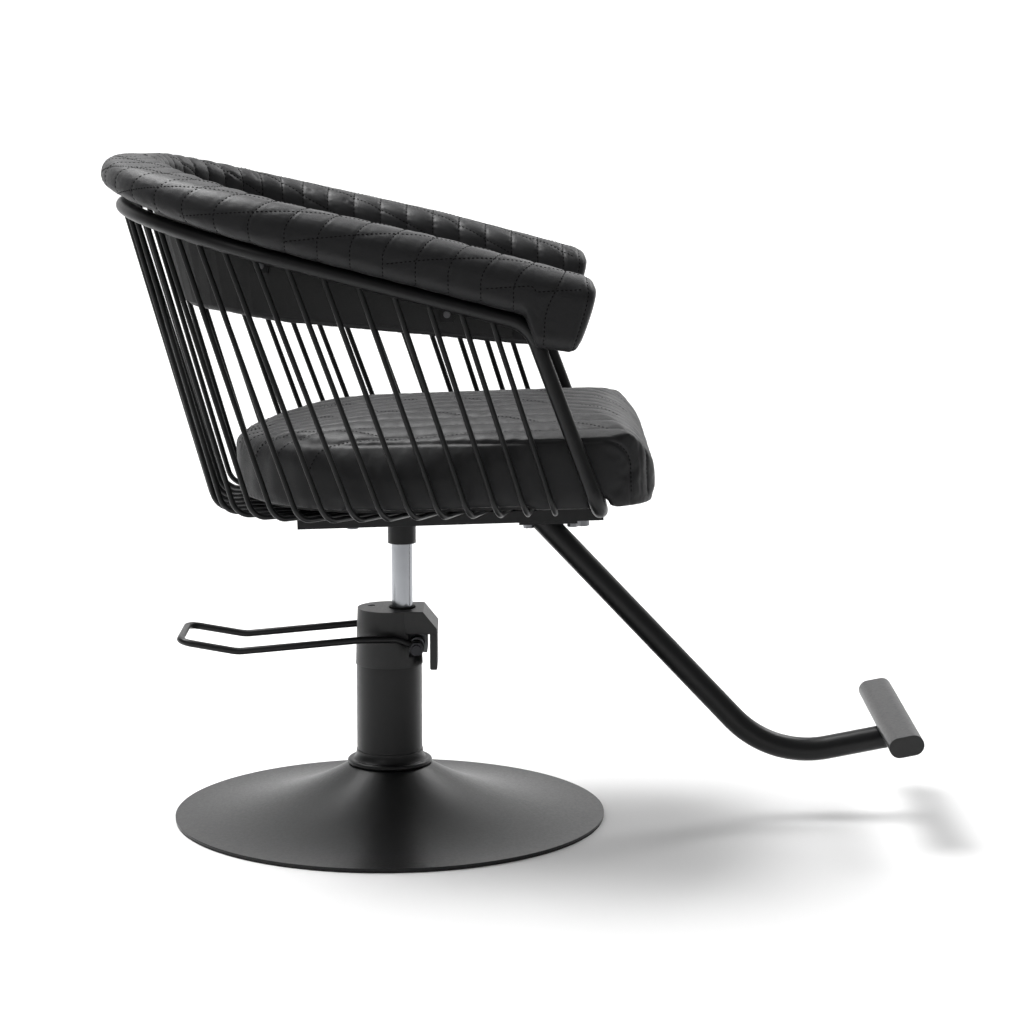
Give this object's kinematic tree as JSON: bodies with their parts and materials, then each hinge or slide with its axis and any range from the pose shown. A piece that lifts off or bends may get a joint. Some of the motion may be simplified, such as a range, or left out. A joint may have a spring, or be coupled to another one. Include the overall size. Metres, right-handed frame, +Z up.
{
  "type": "salon styling chair",
  "caption": "Black salon styling chair: wire cage tub seat with quilted padded rail, seat cushion, hydraulic pump with foot lever, round domed base and fixed T-bar foot rest.",
  "frame": {"origin": "centre of the round base's underside, on the floor", "axes": "+X is the way the sitter faces, +Y is the sitter's left, +Z is up"},
  "size_m": [1.0748, 0.584, 0.896],
  "materials": {
    "black_powder_coat": "satin",
    "black_leatherette": "satin",
    "polished_chrome": "polished",
    "zinc_steel": "satin",
    "cast_grey": "matte",
    "black_rubber": "matte",
    "black_plastic": "satin",
    "bronze_bush": "satin",
    "black_board": "matte",
    "black_zinc": "satin"
  },
  "bodies": {
    "base": {"floor_pad": "black_rubber", "base_shell": "black_powder_coat", "base_plate": "cast_grey", "pump_flange": "cast_grey", "base_bolts": "zinc_steel", "reservoir_tube": "zinc_steel", "column_sleeve": "black_powder_coat", "trim_ring": "black_powder_coat", "cylinder_liner": "zinc_steel", "pump_head": "cast_grey", "head_cover": "black_plastic", "filler_screw": "zinc_steel", "guide_bush": "bronze_bush", "wiper_seal": "black_rubber", "plunger_spring": "zinc_steel"},
    "lever": {"foot_lever": "black_powder_coat", "lever_shaft": "black_zinc", "rocker": "cast_grey", "lever_nuts": "black_zinc"},
    "plunger": {"pump_plunger": "zinc_steel"},
    "ram": {"ram_rod": "polished_chrome", "piston_head": "cast_grey", "piston_seal": "black_rubber", "thrust_bearing": "zinc_steel"},
    "seat": {"seat_hub": "black_powder_coat", "hub_bush": "bronze_bush", "seat_plate": "black_powder_coat", "plate_bolts": "zinc_steel", "rail_left": "black_powder_coat", "rail_right": "black_powder_coat", "cross_bars": "black_powder_coat", "rail_caps": "black_plastic", "frame_tube": "black_powder_coat", "wires_left": "black_powder_coat", "wires_right": "black_powder_coat", "wires_rear": "black_powder_coat", "seat_board": "black_board", "seat_spacers": "black_rubber", "seat_bolts": "zinc_steel", "seat_cushion": "black_leatherette", "back_board": "black_plastic", "back_pad": "black_leatherette", "pad_tabs": "black_powder_coat", "pad_screws": "zinc_steel", "footrest_bracket": "black_powder_coat", "footrest_plate": "black_powder_coat", "footrest_bolts": "zinc_steel", "footrest_tube": "black_powder_coat", "tube_plug": "black_plastic", "foot_bar": "black_powder_coat", "foot_bar_caps": "black_plastic"}
  },
  "joints": [
    {"name": "lift", "type": "slide", "parent": "base", "child": "ram", "axis": [0, 0, 1], "range_m": [0, 0.13]},
    {"name": "swivel", "type": "hinge", "parent": "ram", "child": "seat", "pos_m": [0.018, 0, 0.381], "axis": [0, 0, 1], "continuous": true},
    {"name": "foot_lever_pivot", "type": "hinge", "parent": "base", "child": "lever", "pos_m": [0.039, 0, 0.243], "axis": [0, -1, 0], "range_deg": [0, 20], "stiffness_Nm_per_rad": 5, "springref_deg": -25.78},
    {"name": "plunger_slide", "type": "slide", "parent": "base", "child": "plunger", "axis": [0, 0, 1], "range_m": [-0.0078, 0.0002], "deforming": ["plunger_spring"]}
  ],
  "couplings": [
    {"joint": "plunger_slide", "follows": "foot_lever_pivot", "m_per_rad": -0.0205}
  ]
}
